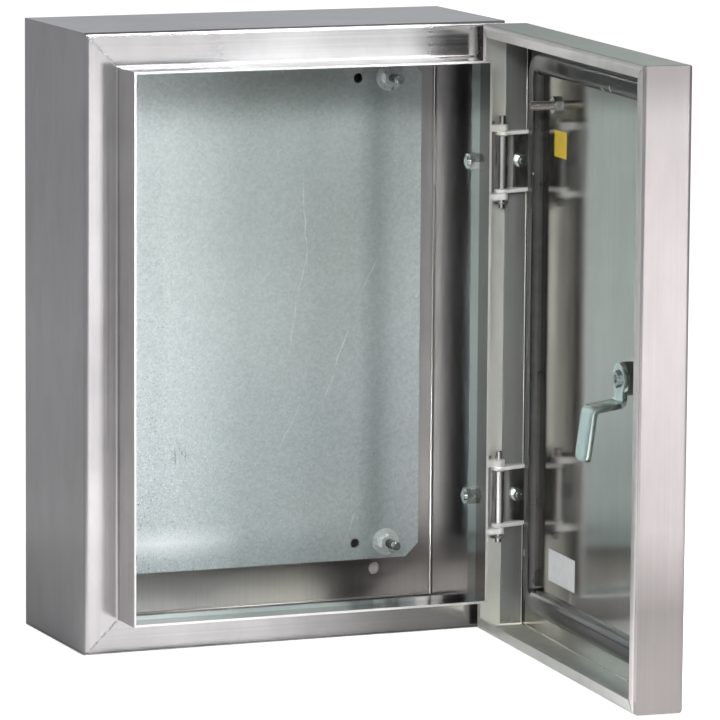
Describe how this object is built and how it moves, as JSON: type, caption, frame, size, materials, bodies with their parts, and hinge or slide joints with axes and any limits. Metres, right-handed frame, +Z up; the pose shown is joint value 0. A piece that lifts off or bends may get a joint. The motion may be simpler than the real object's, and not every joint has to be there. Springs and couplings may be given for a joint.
{
  "type": "steel wall enclosure",
  "caption": "Shallow steel wall box with a hinged pan door, a collar and rubber seal round the opening, a galvanised mounting plate and a cam lock.",
  "frame": {"origin": "middle of the four wall holes, on the outer face of the back", "axes": "+Z up, -Y out of the front, +X towards the hinge side"},
  "size_m": [0.3031, 0.4133, 0.4],
  "materials": {
    "sheet_steel": "ground and brushed bare steel sheet",
    "galvanised_plate": "galvanised with a fine spangle",
    "zinc_plated": "clear zinc plate, satin",
    "bright_steel": "bright drawn steel",
    "spring_steel": "dark spring steel",
    "seal_rubber": "smooth black foam rubber",
    "black_lock": "black coated die-cast zinc"
  },
  "bodies": {
    "case": {"body_shell": "sheet_steel", "back_panel": "sheet_steel", "mounting_plate": "galvanised_plate", "plate_studs": "zinc_plated", "plate_spacers": "zinc_plated", "plate_washers": "zinc_plated", "plate_nuts": "zinc_plated", "upper_body_bracket": "zinc_plated", "lower_body_bracket": "zinc_plated", "upper_hinge_pin": "bright_steel", "lower_hinge_pin": "bright_steel", "upper_pin_clip": "spring_steel", "lower_pin_clip": "spring_steel", "upper_bracket_bolt": "zinc_plated", "lower_bracket_bolt": "zinc_plated", "upper_bracket_nut": "zinc_plated", "lower_bracket_nut": "zinc_plated"},
    "door": {"door_pan": "sheet_steel", "hinge_doubler": "sheet_steel", "gasket": "seal_rubber", "upper_door_bracket": "zinc_plated", "lower_door_bracket": "zinc_plated", "upper_hinge_sleeve": "bright_steel", "lower_hinge_sleeve": "bright_steel", "upper_door_stud": "zinc_plated", "lower_door_stud": "zinc_plated", "upper_door_nut": "zinc_plated", "lower_door_nut": "zinc_plated", "earth_stud": "zinc_plated", "earth_nut": "zinc_plated", "lock_body": "black_lock", "lock_nut": "zinc_plated"},
    "cam": {"lock_insert": "zinc_plated", "cam_lever": "zinc_plated", "lever_screw": "zinc_plated"}
  },
  "joints": [
    {"name": "door_hinge", "type": "hinge", "parent": "case", "child": "door", "pos_m": [0.1357, -0.132, 0], "axis": [0, 0, 1], "range_deg": [-86, 24]},
    {"name": "lock_turn", "type": "hinge", "parent": "door", "child": "cam", "pos_m": [0.1227, -0.35233, 0], "axis": [-0.9976, 0.0698, 0], "range_deg": [0, 90]}
  ]
}
